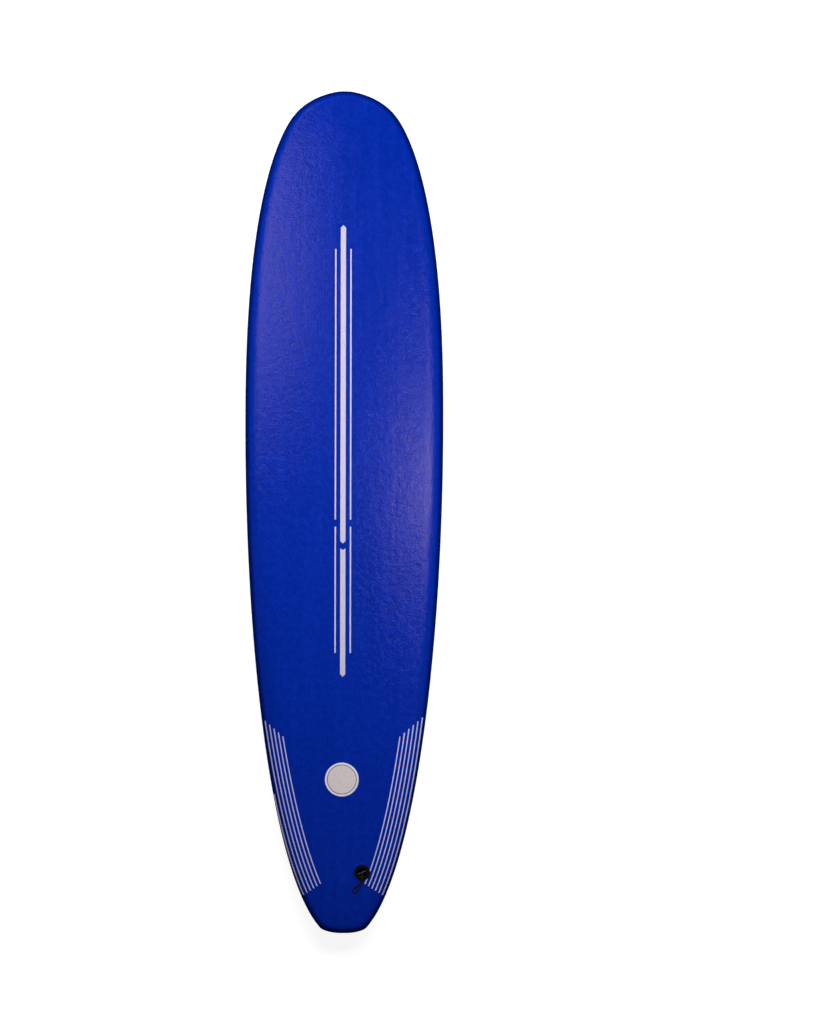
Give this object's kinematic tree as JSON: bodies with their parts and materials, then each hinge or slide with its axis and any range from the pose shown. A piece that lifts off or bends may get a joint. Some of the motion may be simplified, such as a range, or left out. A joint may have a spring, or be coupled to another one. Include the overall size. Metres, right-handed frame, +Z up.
{
  "type": "soft-top surfboard",
  "caption": "Long soft-top surfboard with a foam deck that wraps the rails, a slick bottom, empty fin boxes near the tail and a corded leash plug on the deck.",
  "frame": {"origin": "middle of the flat of the bottom, half way along the board and on its centreline, at the lowest point", "axes": "+Z up out of the deck, +Y toward the tail, +X toward the left rail as seen by a rider who faces the nose"},
  "size_m": [0.575, 2.438, 0.1426],
  "materials": {
    "deck_foam": "soft matte",
    "band_foam": "satin",
    "slick": "satin gloss",
    "backing_foam": "matte",
    "core_foam": "matte",
    "stringer_wood": "bare",
    "fin_box_plastic": "satin",
    "screw_steel": "brushed",
    "plug_plastic": "satin",
    "bar_steel": "polished",
    "string_cord": "braided"
  },
  "bodies": {
    "root": {"deck_skin": "deck_foam", "rail_band": "band_foam", "bottom_slick": "slick", "bottom_backing": "backing_foam", "eps_blank_right_outer": "core_foam", "eps_blank_right_inner": "core_foam", "eps_blank_left_inner": "core_foam", "eps_blank_left_outer": "core_foam", "stringer_right": "stringer_wood", "stringer_centre": "stringer_wood", "stringer_left": "stringer_wood", "fin_box_centre": "fin_box_plastic", "fin_box_right": "fin_box_plastic", "fin_box_left": "fin_box_plastic", "fin_screw_centre_front": "screw_steel", "fin_screw_centre_rear": "screw_steel", "fin_screw_right_front": "screw_steel", "fin_screw_right_rear": "screw_steel", "fin_screw_left_front": "screw_steel", "fin_screw_left_rear": "screw_steel", "leash_plug_cup": "plug_plastic", "leash_plug_bar": "bar_steel", "leash_string": "string_cord"}
  },
  "joints": []
}
